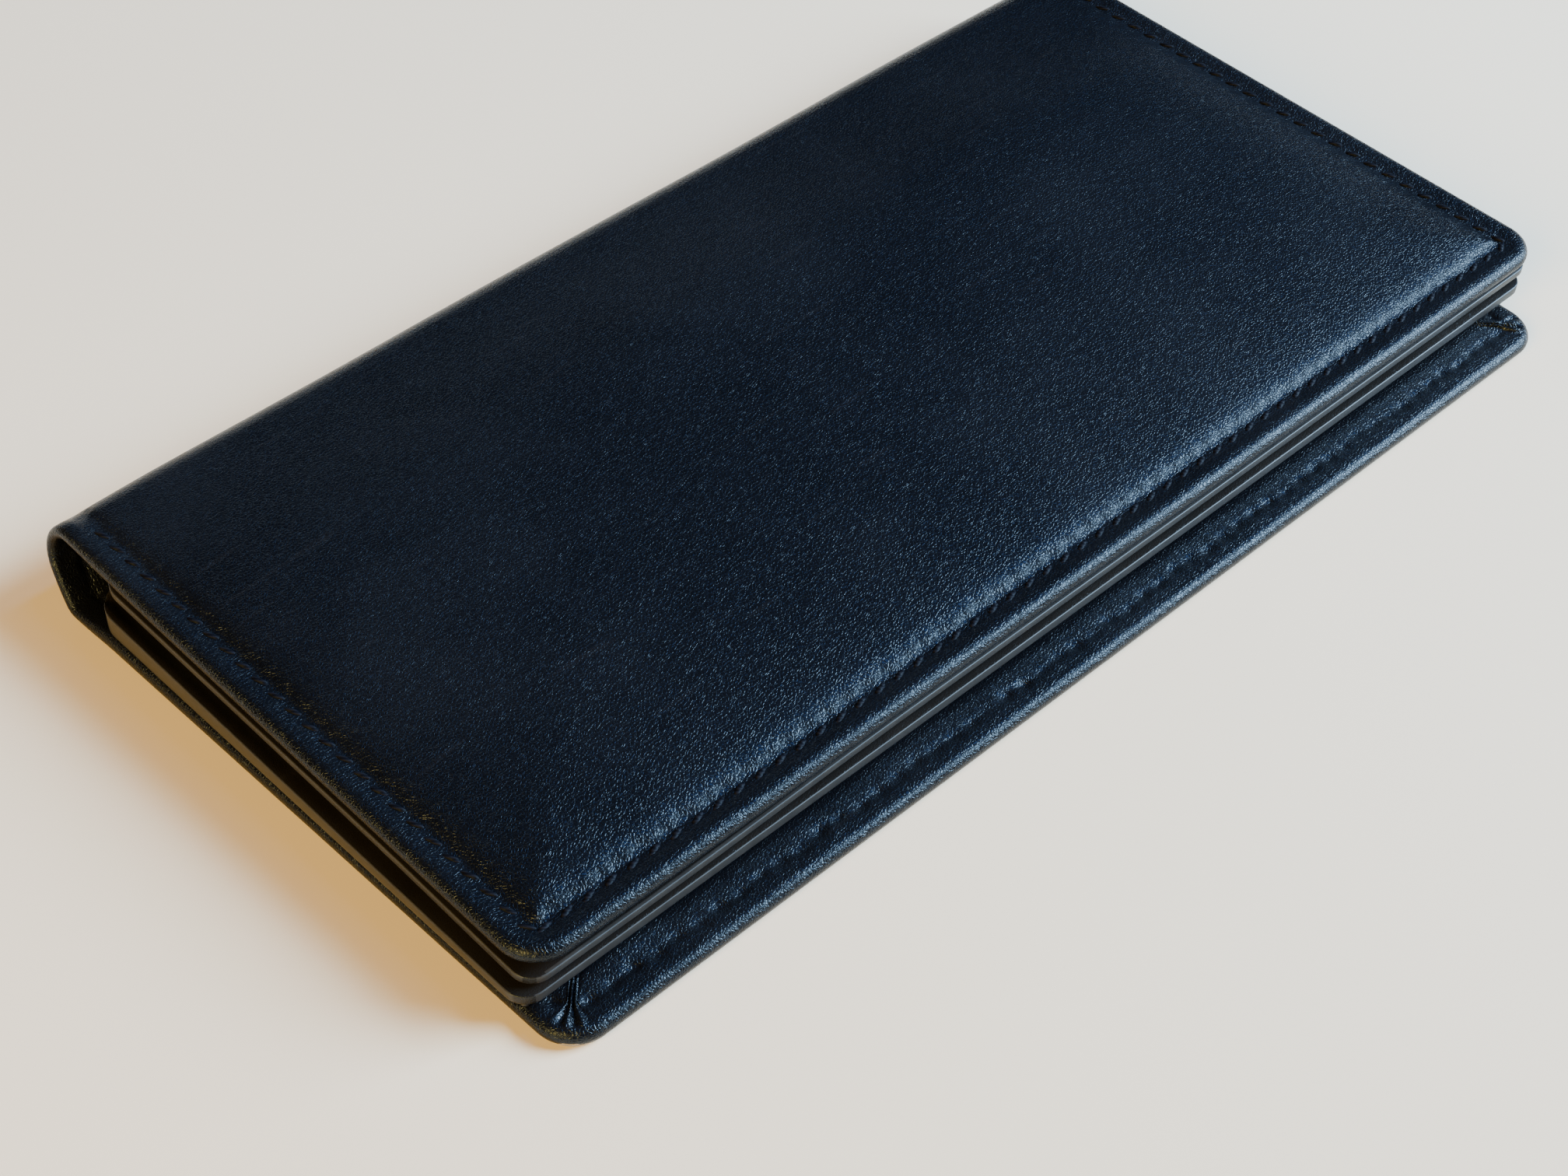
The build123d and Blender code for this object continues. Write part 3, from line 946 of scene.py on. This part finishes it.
edgePaint = paintedEdge()
leafSpec = {
    "dividerGap": 1.0 * mm,
    "frontSag": 0.55 * mm,   # the divider hangs away from the cover at its front left corner
    "shift": 0.4 * mm,       # the leaves lie this far to the left
    "pocketDrop": 1.3 * mm,  # from the divider's top to the pocket gussets
    "step": 1.6 * mm,
}
upperThickness = halves["upper"]["thickness"]
dividerTop = -upperThickness - leafSpec["dividerGap"]
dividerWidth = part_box("note_divider_panel")[1].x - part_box("note_divider_panel")[0].x
leafDepth = 84.5 * mm
leafInset = 0.6 * mm
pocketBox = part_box("pocket_front_lining")


def dividerPlace(x, u, height):
    return coverPoint(x - leafSpec["shift"], lineOf("upper", u + leafInset), height + dividerTop)


def dividerShape(x, u):
    left = smooth((60 * mm - x - dividerWidth / 2) / (45 * mm)) * (1 - smooth(u / (26 * mm)))
    return -leafSpec["frontSag"] * left + 0.18 * mm * wander(x, u, 30 * mm, 4.4)


def pocketPlace(x, u, height):
    middle = (pocketBox[0].x + pocketBox[1].x) / 2
    return Vector((middle + x, pocketBox[0].y + u, pocketBox[1].z + height))


def pocketShape(x, u):
    return -0.05 * mm + 0.05 * mm * wander(x, u, 30 * mm, 9.1)


def offsetShape(shape, height):
    return lambda x, u: shape(x, u) + height


looksLeather = {"material": innerLeather, "edge": edgePaint, "slot": "inner_leather"}
looksCloth = {"material": liningCloth, "edge": liningCloth, "slot": "lining_cloth"}
dividerPanel = {
    "width": dividerWidth, "depth": leafDepth, "thickness": 1.12 * mm,
    "frontRadius": 3 * mm, "mouthRadius": 5 * mm, "step": leafSpec["step"], "rounding": 0.45,
}
piece = makePanel("note_divider_leather", dividerPanel, dividerShape, dividerPlace,
                  dict(looksLeather, replaces=["note_divider_panel"]))
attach(piece, "note_divider")
clothInset = 3 * mm
dividerCloth = dict(
    dividerPanel,
    thickness=0.16 * mm,
    width=dividerWidth - 2 * clothInset,
    depth=leafDepth - 2 * clothInset,
)


def insetPlace(place):
    return lambda x, u, height: place(x, u + clothInset, height)


clothShape = offsetShape(dividerShape, -1.11 * mm)
piece = makePanel("note_divider_cloth", dividerCloth, clothShape, insetPlace(dividerPlace),
                  dict(looksCloth, replaces=["note_divider_lining"]))
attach(piece, "note_divider")

pocketWidth = pocketBox[1].x - pocketBox[0].x
pocketPanel = dict(
    dividerPanel,
    width=pocketWidth,
    thickness=0.80 * mm,
    rimDrop=0.6 * mm,     # the rolled rim hangs under the panel, more towards the spine
    spineDrop=1.0 * mm,
    spineRise=1.1 * mm,
    step=1.0 * mm,
)
piece = makePanel("pocket_front_leather", pocketPanel, offsetShape(pocketShape, -0.1 * mm), pocketPlace,
                  dict(looksLeather, replaces=["pocket_front_panel"]))
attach(piece, "pocket_front")
pocketCloth = dict(
    pocketPanel,
    thickness=0.12 * mm,
    width=pocketWidth - 2 * clothInset,
    depth=leafDepth - 2 * clothInset,
)
piece = makePanel("pocket_front_cloth", pocketCloth, pocketShape, insetPlace(pocketPlace),
                  dict(looksCloth, replaces=["pocket_front_lining"]))
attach(piece, "pocket_front")


def cardSlot(side, number):
    node = f"card_slot_{side}_{number}"
    low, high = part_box(node)
    spec = {
        "width": high.x - low.x, "depth": high.y - low.y, "thickness": high.z - low.z,
        "frontRadius": 0.5 * mm, "mouthRadius": 1.5 * mm, "step": 1.9 * mm,
    }
    middle = (low.x + high.x) / 2

    def place(x, u, height):
        return Vector((middle + x, low.y + u, high.z + height))

    def shape(x, u):  # the mouth stands a little proud of the panel behind it
        return pocketShape(middle + x, u) - 0.03 * mm * smooth((u - spec["depth"] + 3 * mm) / (3 * mm))

    slotPiece = makePanel(node + "_leather", spec, shape, place, dict(looksLeather, replaces=[node]))
    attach(slotPiece, "pocket_front")


for side in ("left", "right"):
    for number in range(1, 5):
        cardSlot(side, number)

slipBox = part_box("slip_pocket_panel")
slipSpec = {
    "width": slipBox[1].x - slipBox[0].x - 3.2 * mm, "depth": slipBox[1].y - slipBox[0].y - 1.6 * mm,
    "thickness": 0.34 * mm, "frontRadius": 2.4 * mm, "mouthRadius": 1.0 * mm, "step": 1.6 * mm,
}


def layerPlace(low, high):  # inside the lower cover, following its outline
    return lambda x, u, height: coverPoint(x, low.y - lowerFront + u, -(high.z + height))


slipFront = slipBox[0] + Vector((0, 1.6 * mm, 0))
piece = makePanel("slip_pocket_leather", slipSpec, lambda x, u: 0.0, layerPlace(slipFront, slipBox[1]),
                  dict(looksLeather, replaces=["slip_pocket_panel"]))
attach(piece, "lower_cover")

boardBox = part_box("lower_cover_board")
boardSpec = {
    "width": boardBox[1].x - boardBox[0].x, "depth": boardBox[1].y - boardBox[0].y, "thickness": 0.44 * mm,
    "frontRadius": 3 * mm, "mouthRadius": 0.5 * mm, "step": 4 * mm,
}
looksBoard = {"material": stiffenerBoard, "edge": stiffenerBoard, "slot": "stiffener_board"}
piece = makePanel("lower_stiffener", boardSpec, lambda x, u: 0.0, layerPlace(*boardBox),
                  dict(looksBoard, replaces=["lower_cover_board"]))
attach(piece, "lower_cover")
print("leaves and pockets made")


gussetSpec = {"width": 10 * mm, "thickness": 0.22 * mm, "columns": 16, "rows": 48}


# A gusset is a strip folded inwards between two leaves. gapAt(u) is how far the leaves stand apart.
def gussetPiece(name, node, edgeX, side, gapAt, place):
    bm = bmesh.new()
    columns = [index / gussetSpec["columns"] for index in range(gussetSpec["columns"] + 1)]
    first, last = 4 * mm, leafDepth - 5 * mm
    rows = [first + index * (last - first) / gussetSpec["rows"] for index in range(gussetSpec["rows"] + 1)]
    for vert, (across, u) in gridRowsAndColumns(bm, columns, rows).items():
        gap = gapAt(u)
        reach = gussetSpec["width"] * (1 - abs(2 * across - 1) ** 1.15)
        middle = 0.5 + 0.5 * (2 * across - 1) ** 3 * 0.7 + 0.5 * (2 * across - 1) * 0.3
        crease = 0.04 * mm * wander(u, across * 20 * mm, 5 * mm, 2.0)
        vert.co = place(side * (edgeX - reach), u, -0.12 * mm - (gap - 0.36 * mm) * middle + crease)
    bmesh.ops.recalc_face_normals(bm, faces=bm.faces)
    piece = newPiece(bm, name, liningLeather, "lining_leather")
    solid = piece.modifiers.new("thickness", "SOLIDIFY")
    solid.thickness = gussetSpec["thickness"]
    solid.offset = 0
    applyModifiers(piece)
    finishShading(piece, 50)
    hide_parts(node)
    halfway = 40 * mm
    top, bottom = place(0, halfway, 0), place(0, halfway, -gapAt(halfway))
    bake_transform(piece)
    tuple(top)
    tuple(bottom)


def coverGussetPlace(x, u, height):
    return coverPoint(x - leafSpec["shift"], lineOf("upper", u + leafInset), height - upperThickness)


def pocketGussetPlace(x, u, height):
    drop = dividerTop - leafSpec["pocketDrop"]
    return coverPoint(x - leafSpec["shift"], lineOf("upper", u + leafInset), height + drop)


pocketFrontGap = 0.9 * mm
gussetEdge = dividerWidth / 2 - 1.5 * mm
for side, sideName in ((-1, "left"), (1, "right")):
    gussetPiece(sideName + "_divider_fold", sideName + "_divider_gusset",
                gussetEdge, side, lambda u: leafSpec["dividerGap"], coverGussetPlace)
    gussetPiece(sideName + "_pocket_fold", sideName + "_pocket_gusset",
                gussetEdge, side, lambda u: pocketFrontGap + u * sin(tilt), pocketGussetPlace)
print("gussets made")


# The last few pieces keep their CAD shape.
def paint(nodeName, material):
    nodes[nodeName].data.materials.clear()
    nodes[nodeName].data.materials.append(material)


paint("upper_cover_board", stiffenerBoard)
for nodeName in ("divider_seam_strip", "pocket_seam_strip"):
    paint(nodeName, liningLeather)
for nodeName in ("card_slot_centre_stitching", "card_slot_edge_stitching"):
    paint(nodeName, thread)


studio = {
    "floorColour": (0.97, 0.845, 0.66),
    "floorSize": 3.0,
    "worldColour": (0.50, 0.70, 1.0),
    "worldStrength": 0.055,
}
lights = {  # colour, power, place and size of each soft panel
    "windowLight": ((0.61, 0.80, 1.0), 66.0, Vector((0.86, -0.58, 0.62)), (0.7, 0.7)),
    "ceilingLight": ((0.09, 0.34, 1.0), 3.6, Vector((0.70, -0.03, 1.08)), (0.17, 0.80)),
    "backLight": ((0.70, 0.85, 1.0), 0.8, Vector((0.35, 1.10, 0.30)), (0.7, 0.2)),
    "warmLamp": ((1.0, 0.62, 0.18), 17.5, Vector((-0.90, -0.20, 0.52)), (0.5, 0.5)),
}
cameraSpec = {
    "azimuth": radians(-44.54),
    "elevation": radians(45.36),
    "roll": radians(1.24),
    "distance": 351.2 * mm,
    "aim": Vector((-28.9, -17.3, 6.0)) * mm,
    "lens": 63.77,
}


def floorMaterial():
    material, tree, shader, place = startMaterial("paleFloor")
    mottling = addNode(tree, "TexNoise")
    mottling.inputs["Scale"].default_value = 6
    mottling.inputs["Detail"].default_value = 2
    tree.links.new(place, mottling.inputs["Vector"])
    low = tuple(channel * 0.97 for channel in studio["floorColour"])
    colour = colourMix(tree, mottling.outputs[0], low, studio["floorColour"])
    tree.links.new(colour, shader.inputs["Base Color"])
    shader.inputs["Roughness"].default_value = 0.9
    return material


bm = bmesh.new()
bmesh.ops.create_grid(bm, x_segments=1, y_segments=1, size=studio["floorSize"] / 2)
floorMesh = bpy.data.meshes.new("floor")
bm.to_mesh(floorMesh)
bm.free()
floorMesh.materials.append(floorMaterial())
floorPiece = bpy.data.objects.new("floor", floorMesh)
scene.collection.objects.link(floorPiece)

world = bpy.data.worlds.new("softRoom")
world.use_nodes = True
background = world.node_tree.nodes["Background"]
background.inputs["Color"].default_value = (*studio["worldColour"], 1)
background.inputs["Strength"].default_value = studio["worldStrength"]
scene.world = world


def softLight(name, colour, power, place, size):
    lamp = bpy.data.lights.new(name, "AREA")
    lamp.shape = "RECTANGLE"
    lamp.size, lamp.size_y = size
    lamp.color = colour
    lamp.energy = power
    holder = bpy.data.objects.new(name, lamp)
    holder.location = place
    holder.rotation_euler = (-place).to_track_quat("-Z", "Y").to_euler()
    scene.collection.objects.link(holder)


for name, (colour, power, place, size) in lights.items():
    softLight(name, colour, power, place, size)

back = Vector((
    sin(cameraSpec["azimuth"]) * cos(cameraSpec["elevation"]),
    -cos(cameraSpec["azimuth"]) * cos(cameraSpec["elevation"]),
    sin(cameraSpec["elevation"]),
))
cameraData = bpy.data.cameras.new("camera")
cameraData.sensor_width = 36
cameraData.lens = cameraSpec["lens"]
cameraData.clip_start = 0.01
camera = bpy.data.objects.new("camera", cameraData)
camera.location = cameraSpec["aim"] + back * cameraSpec["distance"]
facing = back.to_track_quat("Z", "Y").to_matrix().to_4x4()
camera.rotation_euler = (facing @ Matrix.Rotation(cameraSpec["roll"], 4, "Z")).to_euler()
scene.collection.objects.link(camera)
scene.camera = camera

print("finishing")
